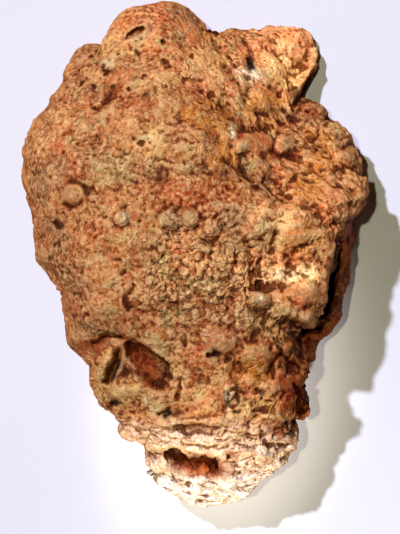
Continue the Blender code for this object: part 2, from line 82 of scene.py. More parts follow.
# The widest section, where the outline lies: x, y, its height, how square the crown above is.
GIRTH = (
    (-20, 86, 21, 2.3), (-10, 89, 22, 2.6), (-2, 86, 17, 2.4), (6, 79, 9, 2.3), (26, 80, 5, 2.2),
    (44, 66, 4, 2.1), (40, 55, 5, 2.1), (50, 46, 9, 2.3), (58, 33, 14, 2.4), (60, 20, 15, 3.4),
    (55, 8, 19, 6.5), (51, -12, 23, 6.5), (49, -27, 27, 5), (38, -45, 30, 3.4), (40, -55, 32, 3),
    (30, -72, 31, 2.8), (17, -87, 22, 2.6), (-2, -88, 20, 2.6), (-16, -72, 25, 2.8),
    (-30, -56, 29, 3), (-44, -28, 30, 3.2), (-55, 0, 30, 3.4), (-58, 30, 29, 3.4),
    (-46, 58, 27, 2.8), (-30, 77, 23, 2.2),
)
GIRTH_BAND = 14.0  # how far above and below it the outline's notches reach
NOTCH_SLANT = 0.012  # how far they wander sideways on the way, in radians per mm
BULGE_TRIM = 0.8  # share that is taken off whatever bulges out past the outline
SWELLS = ((2.2, 42.0, 11), (1.5, 21.0, 12), (1.0, 11.0, 13))  # height, size, seed

# Height of the upper face before it rounds off to the sides: x, y, z.
CROWN = (
    (0, 10, 72), (-30, 20, 69), (30, 20, 70), (50, 36, 40), (50, 25, 50), (50, 12, 63),
    (50, 0, 60), (-48, 20, 65), (0, 42, 74), (-28, 48, 69), (22, 48, 64), (-22, 76, 57),
    (-6, 76, 54), (26, 72, 24), (37, 68, 12), (10, 68, 51), (40, 57, 19), (38, 44, 47),
    (-40, 62, 60), (0, -20, 70), (-26, -14, 68), (26, -20, 66), (42, -14, 60), (0, -44, 65),
    (26, -44, 59), (-26, -44, 58), (14, -60, 55), (-14, -60, 53), (4, -80, 44), (20, -74, 45),
)
CROWN_BLEND = 13.0  # how far each height reaches

# The right side: an upper rim overhangs a low shelf, from the shoulder to the waist.
SHELF_RIM = (
    (60, 19.5), (57.1, 14.7), (52.5, 11.2), (49, 4.9), (48.3, -2.8), (46.9, -9.1), (45.9, -16.1),
    (44.8, -22.4), (43.1, -25.9), (38.5, -26.6), (38, -31), (39.5, -40),
)
SHELF_TOP = 40.0
SHELF_EDGE = 20.0
SHELF_WANDER = 5.0  # how far the shelf's height wanders along the side
RIM_OVERHANG = 0.8  # how far the rim stands out over the wall's foot

# The cleft along the foot of that wall: half width, depth, then the points it runs through.
CLEFT_HALF_WIDTH = 0.9
CLEFT_DEPTH = 10.0
CLEFT = (
    (48.6, 4), (49.2, -3), (47.8, -9.3), (46.9, -16.3), (45.6, -22.8), (43.4, -26.8),
    (37.8, -27.4),
)

# Openings with ragged rims: depth, rim width, the way they are dug under the rim (x, y), outline.
OPENINGS = (
    # the large hollow low on the left
    (7.5, 2.4, (0.1, 0.3), (-22, -29.6), (-17, -31.5), (-13.5, -33.4), (-9.6, -35.6), (-7, -40),
     (-7.2, -45), (-9.4, -49.2), (-14, -48), (-17.6, -45.2), (-19.6, -41.5), (-23.4, -38),
     (-24.2, -32.5)),
    # the sunken ground to the left of it
    (2.6, 3, (0, 0.3), (-36.6, -30.8), (-31, -27.6), (-24, -27.4), (-19, -30), (-20, -44),
     (-25, -46.5), (-31.5, -46), (-35, -41)),
    # the cave at the narrow end
    (7.5, 1.5, (0, 0.5), (-11, -71), (-8.4, -68.6), (-4, -68.8), (-1, -71.2), (2.5, -71.6),
     (6, -70.4), (9.6, -71.4), (12.8, -75), (13, -79.6), (8, -79.2), (4, -77.6), (0, -78.8),
     (-4.5, -78), (-9.6, -76.6)),
    # the broken ground right of the cave
    (1.8, 3, (0, 0), (24, -59), (28, -57.2), (32, -58.4), (34, -62.8), (31, -66.4), (25.6, -64)),
    # a broken place in the left lobe
    (3.4, 1.8, (0, 0.2), (-24.6, 74.8), (-21.4, 78.6), (-17.6, 80.2), (-15, 78), (-17.6, 75.6),
     (-21, 74.2)),
    # two under the right lobe
    (1.4, 2.2, (0, 0.2), (33, 54), (34.6, 59.6), (37.6, 61), (38.2, 57), (37, 53.4)),
    (3.6, 1.4, (0, 0.2), (17.6, 65), (18.8, 69), (21.6, 69.6), (21, 66.4), (19.4, 64.4)),
    # the sunken ground behind the waist
    (2.6, 2.4, (0, 0), (28.6, -31.6), (32.6, -31), (34.6, -37), (33.6, -43), (29.6, -42)),
)

# Domes and swellings: height, x, y, half length, half width, and the turn if there is one.
DOMES = (
    (2.2, -41.5, 20, 4.4, 4.2), (1, -41.8, 17.4, 5.6, 4), (1.6, -24.5, 11.5, 3, 2.8),
    (2.2, -8.2, 11.2, 4.2, 3.8, 10), (2.6, -1.8, 11.6, 4.8, 4.4, -10), (1.8, 5.8, 8, 4.8, 4.2, 30),
    (1.8, 23, 38.5, 6.6, 4.2, 10), (1.4, 32.5, 39, 4, 3.2, 40), (1.4, 17.5, 37.5, 2.6, 3.2),
    (2.4, 23, -16.2, 4.4, 3.9), (1, -31, -7, 7, 6.4), (0.7, -4, 36, 3.4, 2.6, 10),
    (2, 37.5, -13, 6.5, 5, -15), (2.4, 40, -22, 4.6, 3.6, 10), (1.8, 9, -29.5, 7.5, 6, -20),
    (2.6, -28.8, -40.2, 5.4, 7.2, -18), (1.2, 35, 7, 6, 5, 20), (1.8, 27, 65.5, 7, 6.5),
    (1.6, 24, 54.5, 6.5, 5, 10), (1.2, -24, -48, 7, 3, 6), (1.6, 22.5, -36.5, 6, 6),
    (1.8, 37.8, -35, 2.6, 4.6), (0.8, 14.8, -10, 5, 3),
)

# Broad grooves: half width, depth, then the points they run through.
GROOVES = (
    (1.8, 1.5, (-27.5, 57), (-29.5, 54.5), (-31, 51), (-33.5, 50)),
    (1.7, 0.8, (15.5, 50), (15, 46), (16, 42), (14.5, 37), (12, 33)),
    (1.7, 0.9, (18.5, 34.6), (22, 33.6), (26, 34), (30, 35.6), (34, 34.8), (36, 37.6)),
    (1.8, 1, (39, 50.5), (34.5, 47.2), (30, 44.6), (24, 43.6), (18, 43)),
    (1.7, 1.3, (22, -11.8), (26, -12.6), (32, -11.6), (37, -10.4)),
    (1.8, 1.8, (34.5, -24.5), (38, -26.4), (42, -25.8)),
    (1.5, 3.6, (-25.8, -35.2), (-27.8, -39.6), (-29.8, -44.8)),
    (1.7, 2.4, (30.2, -33), (28.4, -37.5), (27.6, -42)),
    (1.7, 2.2, (35, -39.5), (36, -46), (38, -50), (38.6, -55)),
    (2.8, 2.2, (7.2, 82), (8, 74), (12, 66)),
    (2.2, 0.9, (43, 54.5), (38.5, 54), (36, 51)),
    (2, 1.3, (34.5, 59), (36.5, 64), (38, 67)),
    (1.8, 1.6, (-36, -31.6), (-31, -28.8), (-25.5, -28.2)),
)

# Ledges: drop, fade, then the points of the edge; the ground is lower on the right of the path.
LEDGES = (
    (2.2, 7, (13, 28.6), (8, 27.2), (3, 27.6), (-0.5, 28.4)),
    (1.2, 5, (-7.5, 24.2), (-10.5, 24.8), (-14, 25.8)),
    (1.6, 6, (-37, 16.2), (-41.5, 14.4), (-46, 16)),
    (1, 7, (13, -66.4), (6, -66.2), (-2, -65.6), (-9, -65.4), (-14, -65)),
    (1.6, 8, (32, -56.6), (20, -55.4), (6, -57.6), (-8, -57.8), (-22, -56.8)),
    (1, 7, (37, -11.4), (30, -13.2), (21, -13)),
)

FINE_SPHERE_DETAIL = 8
FINE_KEEP = 0.6  # keeps the fine mesh under 200,000 triangles

# ------------ small features, in mm
# Pits: x, y, radius, depth.
PITS = (
    (-35.5, 69, 1.1, 1.2), (-30, 63.5, 1.8, 1.8), (-31.5, 65, 0.9, 1), (-38.5, 59, 1, 1.2),
    (-34.5, 58, 0.9, 1.1), (-10.5, 73.5, 1.1, 1.3), (-19.5, 70.5, 0.9, 1), (-9.5, 66, 1.5, 1.6),
    (-8, 64.6, 1, 1.3), (-16.5, 61, 0.9, 1), (0, 69, 0.9, 1.1), (-22, 56.5, 1, 1.1),
    (-18, 37.5, 1.2, 1.4), (6.5, 55, 1.1, 1.4), (11, 55, 0.9, 1.1), (11.5, 66, 1, 1.1),
    (15, 66, 0.9, 1), (8, 67, 0.8, 1), (5.5, 65, 0.8, 1), (7.5, 43.5, 1, 1.3), (-30, 12, 0.9, 1.1),
    (-46.5, 10, 1.6, 1.6), (-24, -7, 1.1, 1.3), (-20, -11, 0.9, 1.1), (-36.5, -21.5, 1.3, 1.5),
    (-47, 3, 1.1, 1.2), (-49, -2, 1.1, 1.2), (22.5, 22.5, 0.9, 1.1), (33.5, 19.5, 1.1, 1.2),
    (16.5, 24.5, 1, 1), (7, -8, 0.9, 1), (31, 56.5, 1.2, 1.4), (32.5, 50.5, 1.1, 1.3),
    (7.6, -34.4, 1.2, 3.4), (5.6, -35, 0.9, 2.4), (22.7, -48, 1.2, 1.6), (12.6, -70, 1.7, 2),
    (-27.4, -52.2, 1.6, 2.2), (-29.4, -53, 1.2, 1.6), (-9, -42.5, 1.2, 1.8), (-8.5, -58.7, 1, 1.2),
    (39, -52, 1.2, 1.4), (12, -37.3, 1.6, 1.4), (-15.4, -43, 0.9, 1.2),
)

# Small beads, given as the domes are.
BEADS = (
    (1.3, 27.6, 41.5, 2.6, 2.2), (1.1, -43.5, 39, 2.4, 1.8, 30), (1, 3.5, -5, 1.7, 1.7),
    (0.9, 7, -5.5, 1.6, 1.6), (0.9, 14.5, -9.5, 1.6, 1.6), (0.9, 17.2, -9.5, 1.6, 1.6),
    (0.9, 2, -1.5, 1.6, 1.6), (1.1, -5, -4, 1.9, 1.8), (1, -28, 69, 1.9, 1.8),
    (1, -2.8, -23, 2.2, 2), (0.9, -7, -27.5, 1.8, 1.7), (1, -20, 21, 1.8, 1.7), (1, 0, 3, 2, 1.8),
    (0.9, 4, 1, 1.8, 1.6), (0.9, -36, 24, 1.9, 1.8), (0.8, 43, -23.3, 1, 0.9),
    (0.6, 47, -25, 0.9, 0.8), (0.9, -1, -14, 1.8, 1.7),
)

# The ground where beads lie close: x, y, half length, half width, turn.
BEADED_GROUND = (4.0, -9.0, 24.0, 20.0, -10.0)

# Thin shells seen edge on, as arcs, given as the domes are.
RINGS = (
    (0.25, -31, -7, 5.6, 4.8), (1.3, 13.6, -50.2, 3.3, 4.3), (0.5, -4, 36, 5.2, 4.4, 10),
    (0.6, -4, 36, 8, 6.6, 10), (0.5, 40, 9, 2.4, 2.2), (0.6, 11, 10.5, 6.6, 4.8, 35),
    (0.6, 11.5, 10, 4.2, 2.8, 35), (0.3, -30, 27, 3.4, 3.2), (0.6, 21, -1, 9, 8, 20),
    (0.5, 20.5, -1.5, 11, 10, 20), (0.5, -41.5, 20, 3.4, 3), (0.25, -12, -39, 4, 4),
)

# Thin grooves and slits: half width, depth, then the points they run through.
SLITS = (
    (0.9, 1.2, (-3, 59.5), (0, 60.2), (3, 60)),
    (1, 1.4, (31, 22), (34, 24), (36, 26.5)),
    (1, 1.6, (28, 6.5), (27.4, 3), (27, 0)),
    (0.9, 1.4, (-20, -12), (-22.8, -15), (-22, -19)),
    (0.9, 2.8, (-25.8, -35.2), (-27.8, -39.6), (-29.8, -44.8)),
    (1, 3, (-11.6, -56.4), (-8.4, -54.6)),
    (0.9, 1.8, (33.4, -34), (33, -37), (34.4, -41)),
    (0.8, 1.2, (-2.2, -28.5), (-2.8, -33)),
    (0.9, 1.4, (-4, -44), (-5.2, -50.5)),
    (1, 1.8, (-15, -45.2), (-10.5, -46.6)),
    (0.9, 1.6, (-16, -65.8), (-12, -66.2)),
    (0.9, 1.4, (-34, -31.5), (-30, -28.7), (-25, -28.5), (-20, -30.3)),
    (0.8, 1, (-9.5, 8.6), (-6, 7.4), (-2, 7.2), (1.6, 8.8)),
    (0.8, 1, (-43.6, 17), (-41, 15.8), (-38.2, 17.2)),
)

# ------------ stains, painted light and painted shade, in mm on the upper face
# Each stain: strength, x, y, half length, half width, and the turn if there is one.
RUST = (
    (0.75, -16, 83, 13, 6, 10), (0.5, -27, 61, 7, 6, 20), (0.5, -35, 52, 8, 6),
    (0.5, -22, 52, 7, 5), (0.9, 1, 57.5, 9, 3), (0.6, 13, 58, 5, 4), (0.7, 21, 74, 10, 4),
    (0.6, 38, 79, 6, 3), (0.6, 35, 34, 5, 4), (0.6, 28, 28, 6, 4, 20), (0.95, 2, 20, 17, 6.5),
    (0.6, -19, 21, 4, 4), (0.5, -42, 28, 6, 5), (0.6, -34, 8, 5, 4), (0.5, -27, 0, 5, 4),
    (0.6, -7, 1, 5, 3), (0.7, 32, -1, 5, 3), (0.6, 37, -16, 4, 3), (0.95, 9, -28, 9, 6.5, -20),
    (0.8, 0, -35, 7, 5), (0.9, 24, -33, 5, 4), (0.8, 18, -47.5, 3, 3), (0.5, 6, 9, 5, 4),
    (0.7, -38, -33, 5, 3, -20), (0.9, -25, -31.5, 6, 2.5), (0.5, -20, -22, 6, 3),
    (0.8, 32.5, -50, 5, 8), (0.9, 38, -33, 4, 6), (0.7, 7, -56, 3, 2), (0.7, 24, 38.5, 6, 4, 10),
    (0.4, 47, 18, 6, 9), (0.6, 4, 8, 6, 4), (0.6, -14, -46, 4, 2),
)
OCHRE = (
    (0.9, 5, 48, 9, 7), (0.8, 25, 52, 9, 7), (0.9, 8, 33, 6, 4), (0.8, 43, 37, 7, 9),
    (0.5, 36, 4, 8, 6), (0.8, 12.5, 20, 4, 7), (0.6, -23, 79, 5, 3), (0.5, 2, 77, 5, 3),
    (1, 20.5, -38.5, 8, 7.5), (0.5, 17, -59, 5, 3), (0.6, 40, 22, 8, 7), (0.8, -18, -56.5, 5, 2),
    (1, 17.5, -73.5, 6, 4.5), (0.6, 28, -64, 6, 4), (0.7, 34, 64, 5, 6), (0.7, 40, -27, 7, 3, -20),
    (0.5, 10, 36, 6, 8),
)
CREAM = (
    (1, 30.5, 65.5, 8, 7), (0.8, 16, 56, 3, 6), (0.8, -14, 38.5, 5, 7), (0.6, 37.5, 70, 3, 2),
    (0.8, 31, 12, 3, 3), (1, 34, -7, 9, 3.4), (0.9, 25, -25.5, 8, 3.4, -10),
    (0.7, 18, -22.5, 4, 2, -30), (0.8, -31.6, -39, 3.4, 7, -20), (0.8, -22, -48, 9, 3, 10),
    (0.9, 20, -52.5, 8, 3), (0.9, -15, -52, 5, 2.5, -20), (0.4, 4, 68, 10, 5),
    (0.5, -30, 70, 6, 5), (0.3, -10, 58, 8, 6), (0.6, 20, -6, 5, 3, -30), (0.4, 12, -11, 6, 3),
    (0.7, -5, -42, 1.8, 9),
)
SAGE = (
    (0.8, -28.5, 28.5, 9, 6), (0.8, 19, 30, 3, 3), (0.7, 18, 18, 3, 3), (0.7, 25, 7, 5, 8),
    (0.7, 12, 3, 4, 4), (0.9, -11, -3, 3, 7), (0.7, 0, -10, 4, 3), (1, 1.2, -47, 2.5, 3.5),
    (0.9, -13.5, -31, 6, 3, -30), (0.7, -10, -23, 3, 3), (0.8, 16.5, -23, 5, 2, -30),
    (0.7, 27, -20, 8, 2.5), (0.7, -27, -52, 3, 2), (0.7, 14, -56, 5, 2.5), (0.5, -31, -48, 4, 3),
    (0.5, -14, 28, 6, 4), (0.6, -26, 4.5, 5, 2.5), (0.5, 0, 1, 4, 3), (0.5, -4, -20, 5, 3),
    (0.5, -30, -20, 5, 2), (0.5, 6, -14, 4, 3),
)
SLATE = (
    (0.8, -20, 77.5, 6, 3, 20), (0.8, -6, 85, 5, 3), (0.9, -53, 24, 4, 8), (0.7, -48, 30, 4, 4),
    (1, -8.2, 11.2, 3.8, 3.6), (0.9, 32.5, 39, 3.6, 3, 40), (0.9, 12, 11.5, 6, 4, 35),
    (1, 23, -16.2, 4.2, 3.8), (0.8, -38, -26, 5, 4), (0.7, 23, 25, 3, 3), (0.8, 32, 50, 4, 3),
    (1, 13.9, -50.2, 2.2, 3.3), (0.6, -12.5, -38.5, 3.6, 4), (0.5, -1.8, 11.6, 4, 3.6),
    (0.8, -24.4, -40, 2.4, 6, -22), (0.7, -49, 5, 5, 9), (0.4, -40, 60, 5, 8, 40),
    (0.6, -42, -8, 5, 6), (0.7, 23, 63, 3, 3), (0.3, 5, 52, 3, 3),
)
CHALK = (
    (1, 12.5, 42, 1.4, 3.4), (0.7, 18, 63.5, 4, 3.5), (0.9, -31, 66.5, 2.5, 2),
    (0.9, -24.5, 12.2, 2.2, 2.2), (0.6, -17, 39.5, 2, 1.2), (0.9, 4.6, -33.6, 1.8, 0.8, 10),
    (1, -12.6, -54, 3.4, 2.2), (0.8, -7.5, -58.6, 1.8, 1.6), (0.9, 11, -49.5, 1, 4),
    (0.35, 32, -7, 7, 2.4), (0.8, 22, -14.8, 1.8, 1.5), (1, 47, -25.2, 0.9, 0.8),
    (0.8, -17, -51, 2, 2), (1, 43, -23.3, 0.9, 0.8), (0.4, 7, 17, 2, 1),
)
# Deep places painted dark, as painted shade.
DEEP_PAINTED_SHADE = (
    (1, 19.3, 67, 1.9, 2.6, -15), (0.8, 36, 56.5, 2, 3.6, 20), (1, 7.4, -34.6, 1.4, 1.2, 20),
    (1, 5, -35.2, 1.4, 0.7, 10), (1, -10, -55.6, 2.4, 1, 32), (0.9, -13, -44.4, 3.6, 0.8, -8),
    (0.8, 22.7, -48, 1.2, 1.5), (0.9, -28, -52, 2, 1, 10), (0.9, -9, -42.6, 1.2, 1.2),
    (0.8, -30, 63.3, 1.6, 1, 20), (0.2, -20.5, 77.6, 3, 1.2, 30), (1, -27.8, -40, 1, 5.6, -22),
    (0.4, -9.3, 65.6, 1.6, 0.9, -30), (0.7, -13.5, -46, 3, 0.9, -10),
    (0.9, 10.9, -50, 0.6, 2.8, 5), (0.9, 13.6, -46.2, 2.2, 0.6), (0.8, 13.8, -54.4, 1.4, 0.6),
    (0.35, -7.6, -71.2, 3, 1.6, -20), (0.7, -46.5, 9.6, 1.5, 1), (0.4, -20, -42, 1.2, 2),
)
# Blood-dark red floors of the hollow and the cave.
WINE = (
    (1, -18.5, -37.5, 4.6, 8, 35), (1, -14.5, -45, 6, 2, -10), (0.8, -20, -32, 4.6, 2.8, -20),
    (1, 0.8, -74.4, 12, 4.4, -6), (0.5, 29, -61.5, 5, 4), (0.7, 12.6, -70, 2.2, 1.8),
    (0.7, -36, -32.5, 3, 2, -10), (0.6, -33, -30, 3.6, 1.4, 10),
)
# Places painted darker and redder brown than the ground around them: partly the crust's own colour,
# partly painted shade in grooves, under ledges, on the right-hand flank and low on the right.
UMBER_AND_PAINTED_SHADE = (
    (1, 52, -10, 5.5, 19, -8), (0.95, 36, -48, 9, 17), (0.95, 34, -35, 7, 10),
    (0.4, 29, -28, 9, 5), (0.25, -45, 12, 12, 20), (0.5, 40, 52, 5, 5), (0.25, 38, 60, 3, 8, 10),
    (0.5, 30, -12.5, 10, 1.4), (0.25, -28, -22, 18, 10), (0.6, 15, 42, 2, 8),
    (0.7, 34, 46.5, 6, 1.4, 35), (0.9, 6, 27.4, 9, 1.4), (0.8, -11, 24.6, 4, 1, 10),
    (0.7, 28, 33.5, 9, 1.4, 10), (0.9, -35, -30.5, 7, 1.6, 15), (0.8, -24, -28.4, 6, 1),
    (0.8, -29, 55, 1.6, 5, -40), (0.2, 12, -33, 3, 5),
)
# Places painted lighter all over: painted light where the crust's slopes and creases get less light.
PAINTED_LIGHT = (
    (0.88, 31, 68, 20, 18), (0.42, 6, 68, 20, 16), (0.35, -16, 80, 18, 12), (0.4, 24, 40, 18, 12),
    (0.75, 28, -7, 18, 11), (0.4, 34, 12, 18, 18), (0.42, -1, -3, 15, 12), (0.3, 42, 26, 14, 14),
    (0.2, 10, -46, 22, 13),
)
# The stains in the order in which they are laid on, with their screen colours.
STAINS = (
    ("sage", SAGE, (196, 170, 122)), ("ochre", OCHRE, (212, 130, 38)),
    ("cream", CREAM, (238, 196, 136)), ("rust", RUST, (200, 98, 56)),
    ("slate", SLATE, (150, 112, 86)), ("chalk", CHALK, (252, 244, 226)),
)


# ------------ small helpers
def ease(low, high, value):
    """0 below low, 1 above high, and a smooth rise between."""
    share = np.clip((value - low) / (high - low), 0.0, 1.0)
    return share * share * (3.0 - 2.0 * share)


def lattice_pick(table, cell):
    """A number from 0 to 255 for each lattice cell, always the same one."""
    cell = cell & 255
    return table[(table[(table[cell[:, 0]] + cell[:, 1]) & 255] + cell[:, 2]) & 255]


def noise(points, size, seed):
    """Smooth noise, about -1 to 1, with swells about `size` across."""
    maker = np.random.default_rng(seed)
    table = maker.permutation(256)
    slopes = maker.normal(size=(256, 3))
    slopes /= np.linalg.norm(slopes, axis=1, keepdims=True)
    grid = points / size
    cell = np.floor(grid).astype(np.int64)
    part = grid - cell
    fade = part ** 3 * (part * (part * 6.0 - 15.0) + 10.0)
    total = np.zeros(len(points))
    for corner in itertools.product((0, 1), repeat=3):
        slope = slopes[lattice_pick(table, cell + corner)]
        weight = np.prod(np.where(corner, fade, 1.0 - fade), axis=1)
        total += weight * np.einsum("ij,ij->i", slope, part - corner)
    return total * 1.7


def bent(points, size, amount, seed):
    """The points moved about by noise, so that what is drawn over them wanders."""
    shifts = [amount * noise(points, size, seed + axis) for axis in range(3)]
    return points + np.column_stack(shifts)


def terraced(values, step):
    """Values drawn together into treads, `step` apart, with steep rises between."""
    level = values / step
    whole = np.floor(level)
    return step * (whole + ease(0.32, 0.68, level - whole))


def polar(points):
    """Azimuth and reach of each point in plan."""
    return np.arctan2(points[:, 1], points[:, 0]), np.hypot(points[:, 0], points[:, 1])


def read_around(marks, values, azimuth, outside=None):
    """The values of marks all round, or of a stretch of them, read at each azimuth."""
    angles = polar(marks)[0]
    order = np.argsort(angles)
    period = 2.0 * math.pi if outside is None else None
    return np.interp(azimuth, angles[order], values[order], outside, outside, period)


def reach_by_angle(path, azimuth, outside=None):
    """Distance of a star-shaped path from the origin, read at each azimuth."""
    corners = np.array(path)
    return read_around(corners, polar(corners)[1], azimuth, outside)


def path_gap(points, path):
    """Distance in plan to a path of straight runs, and the side: plus on its right."""
    best = np.full(len(points), np.inf)
    side = np.zeros(len(points))
    for (x0, y0), (x1, y1) in zip(path, path[1:]):
        run_x = x1 - x0
        run_y = y1 - y0
        length = math.hypot(run_x, run_y)
        from_x = points[:, 0] - x0
        from_y = points[:, 1] - y0
        along = np.clip((from_x * run_x + from_y * run_y) / length ** 2, 0.0, 1.0)
        gap = np.hypot(from_x - along * run_x, from_y - along * run_y)
        cross = (from_x * run_y - from_y * run_x) / length
        nearer = gap < best
        best[nearer] = gap[nearer]
        side[nearer] = np.sign(cross[nearer])
    return best, side


def inward_gap(points, outline):
    """Distance in plan to a closed outline: plus inside it, minus outside."""
    closed = (*outline, outline[0])
    inside = np.zeros(len(points), dtype=bool)
    for (x0, y0), (x1, y1) in zip(closed, closed[1:]):
        level = points[:, 1]
        crosses = (y0 > level) != (y1 > level)
        if y0 != y1:
            inside ^= crosses & (points[:, 0] < x0 + (level - y0) * (x1 - x0) / (y1 - y0))
    gap = path_gap(points, closed)[0]
    return np.where(inside, gap, -gap)


def oval_gap(points, x, y, half_length, half_width, turn=0.0):
    """Distance in plan from the middle of a turned oval: 1 on its edge."""
    angle = math.radians(turn)
    from_x = points[:, 0] - x
    from_y = points[:, 1] - y
    along = (from_x * math.cos(angle) + from_y * math.sin(angle)) / half_length
    across = (from_y * math.cos(angle) - from_x * math.sin(angle)) / half_width
    return np.hypot(along, across)


def vertex_normals(points, triangles):
    """Outward unit normals, weighted by the area of the triangles around each vertex."""
    corners = points[triangles]
    facing = np.cross(corners[:, 1] - corners[:, 0], corners[:, 2] - corners[:, 0])
    order = triangles.ravel()
    normals = np.column_stack([
        np.bincount(order, np.repeat(part, 3), len(points)) for part in facing.T])
    return normals / np.linalg.norm(normals, axis=1, keepdims=True)


def crowded_upwards(directions):
    """Unit directions drawn towards +Z, so that the upper face gets more."""
    height = directions[:, 2] + UPPER_CROWDING * (1.0 - directions[:, 2] ** 2)
    level = np.hypot(directions[:, 0], directions[:, 1])
    around = directions[:, :2] / np.maximum(level, 1e-9)[:, None]
    spread = np.sqrt(np.clip(1.0 - height ** 2, 0.0, None))
    return np.column_stack((around * spread[:, None], height))


# ------------ the form, large to small
def plain_form(directions):
    """The nodule without relief: outline at the girth, domed top, rounder belly."""
    start = directions * HALF_SIZE
    azimuth, start_reach = polar(start)
    outline = reach_by_angle(OUTLINE, azimuth)
    softened = averaged_around(azimuth, 10, lambda turned: reach_by_angle(OUTLINE, turned))
    reach = outline + (softened - outline) * ease(0.08, 0.45, np.abs(directions[:, 2]))

    girth = averaged_around(azimuth, 8, lambda turned: girth_reading(turned, 2))
    crown_squareness = averaged_around(azimuth, 8, lambda turned: girth_reading(turned, 3))
    squareness = np.where(start[:, 2] > 0.0, crown_squareness, BELLY_SQUARENESS)
    across = (start_reach / reach) ** squareness
    upright = (np.abs(start[:, 2]) / HALF_SIZE[2]) ** squareness
    scale = (across + upright) ** (-1.0 / squareness)
    plan = start[:, :2] * scale[:, None]
    rise = start[:, 2] * scale / HALF_SIZE[2]

    span = np.where(rise > 0.0, crown_height(plan) - girth, girth + REST_SINK)
    return np.column_stack((plan, girth + span * rise))


def averaged_around(azimuth, reach_degrees, reading):
    """A reading taken at each azimuth, averaged over so many degrees to both sides."""
    turns = np.radians(np.arange(-reach_degrees, reach_degrees + 1, 2))
    wrapped = [np.mod(azimuth + turn + math.pi, 2.0 * math.pi) - math.pi for turn in turns]
    return np.mean([reading(turned) for turned in wrapped], axis=0)


def girth_reading(azimuth, column):
    """A column of the girth's marks, read at each azimuth."""
    marks = np.array(GIRTH)
    return read_around(marks, marks[:, column], azimuth)


def crown_height(plan):
    """Height of the upper face in plan, blended from the crown's marks."""
    total = np.zeros(len(plan))
    weights = np.full(len(plan), 1e-9)
    for x, y, z in CROWN:
        weight = np.exp(-((plan[:, 0] - x) ** 2 + (plan[:, 1] - y) ** 2) / (2.0 * CROWN_BLEND ** 2))
        total += weight * z
        weights += weight
    return total / weights


def rim_reach(azimuth):
    """Distance of the shelf's upper rim from the origin: far out where there is no shelf."""
    return reach_by_angle(SHELF_RIM, azimuth, outside=999.0)


def pull_in_shelf(points):
    """Draws the right side's upper part inwards, which leaves a low shelf."""
    azimuth = polar(points)[0]
    outline = reach_by_angle(OUTLINE, azimuth)
    depth = outline - np.minimum(rim_reach(azimuth), outline)
    height = points[:, 2] + SHELF_WANDER * noise(points, 14.0, 17)
    above = ease(SHELF_EDGE, SHELF_TOP, height)
    undercut = RIM_OVERHANG * np.exp(-((points[:, 2] - SHELF_TOP - 3.0) / 5.0) ** 2)
    pull = (depth * above + undercut * ease(0.5, 3.0, depth)) / outline
    moved = points.copy()
    moved[:, :2] *= (1.0 - pull)[:, None]
    return moved


def cleft_share(points):
    """1 in the middle of the cleft at the foot of the right-hand wall."""
    wandering = bent(points, 7.0, 0.8, 71)
    near = np.exp(-(path_gap(wandering, CLEFT)[0] / CLEFT_HALF_WIDTH) ** 2)
    below = 1.0 - ease(SHELF_EDGE - 6.0, SHELF_EDGE, points[:, 2])
    above = ease(SHELF_TOP + 6.0, SHELF_TOP + 16.0, points[:, 2])
    return near * (1.0 - below - above)


def swell(points, normals):
    """Broad swells and hollows all over, calmed where the stone rests."""
    height = sum(amount * noise(points, size, seed) for amount, size, seed in SWELLS)
    height *= 1.0 - resting(points)
    return points + normals * height[:, None]


def resting(points):
    """1 on the flat that the stone rests on, falling to 0 around and above it."""
    gap = oval_gap(points, 0.0, 0.0, *REST_HALF_SIZE)
    return (1.0 - ease(0.9, 1.5, gap)) * (1.0 - ease(4.0, 10.0, points[:, 2]))


def refit_outline(points):
    """Brings the widest section back to the outline."""
    bins = 360
    azimuth, reach = polar(points)
    index = ((azimuth + math.pi) / (2.0 * math.pi) * bins).astype(np.int64) % bins
    widest = np.zeros(bins)
    np.maximum.at(widest, index, reach)
    middles = (np.arange(bins) + 0.5) / bins * 2.0 * math.pi - math.pi
    widest = np.mean([np.roll(widest, step) for step in (-2, -1, 0, 1, 2)], axis=0)

    def widest_at(turned):
        return np.interp(turned, middles, widest, period=2.0 * math.pi)

    def ratio_at(turned):
        return reach_by_angle(OUTLINE, turned) / widest_at(turned)

    softened = averaged_around(azimuth, 10, ratio_at)
    above = points[:, 2] - girth_reading(azimuth, 2)
    slant = NOTCH_SLANT * above * noise(points, 26.0, 15)
    near_girth = np.exp(-(above / GIRTH_BAND) ** 2)
    ratio = softened + (ratio_at(azimuth + slant) - softened) * near_girth
    share = ease(0.55, 0.95, reach / widest_at(azimuth))
    scale = 1.0 + (ratio - 1.0) * share
    limit = averaged_around(azimuth, 2, lambda turned: reach_by_angle(OUTLINE, turned))
    scale -= BULGE_TRIM * np.clip(scale - limit / np.maximum(reach, 1e-6), 0.0, None)
    fitted = points.copy()
    fitted[:, :2] *= scale[:, None]
    return fitted


def openings_dug(points):
    """How each point moves where openings are dug, and how far inside one it is."""
    wandering = bent(points, 4.0, 1.0, 23)
    move = np.zeros_like(points)
    inside = np.zeros(len(points))
    for depth, rim, under, *outline in OPENINGS:
        share = ease(0.0, rim, inward_gap(wandering, outline))
        move += share[:, None] * np.array((*under, -1.0)) * depth
        inside = np.maximum(inside, share)
    return move, inside


def domes_lift(points, domes):
    """Lift of a set of domes with creases on their lower right, and where they are."""
    wandering = bent(points, 5.0, 0.7, 27)
    lift = np.zeros(len(points))
    inside = np.zeros(len(points))
    for height, *oval in domes:
        x, y, half_length, half_width = oval[:4]
        gap = oval_gap(wandering, *oval)
        dome = np.clip(1.0 - gap ** 2, 0.0, None) ** 1.2
        lower_right = (points[:, 0] - x - points[:, 1] + y) / (half_length + half_width)
        away = ease(-0.2, 1.2, lower_right)
        crease = np.exp(-((gap - 1.12) / 0.22) ** 2) * away
        lift += height * (dome - 0.2 * crease)
        inside = np.maximum(inside, 1.0 - ease(0.8, 1.1, gap))
    return lift, inside


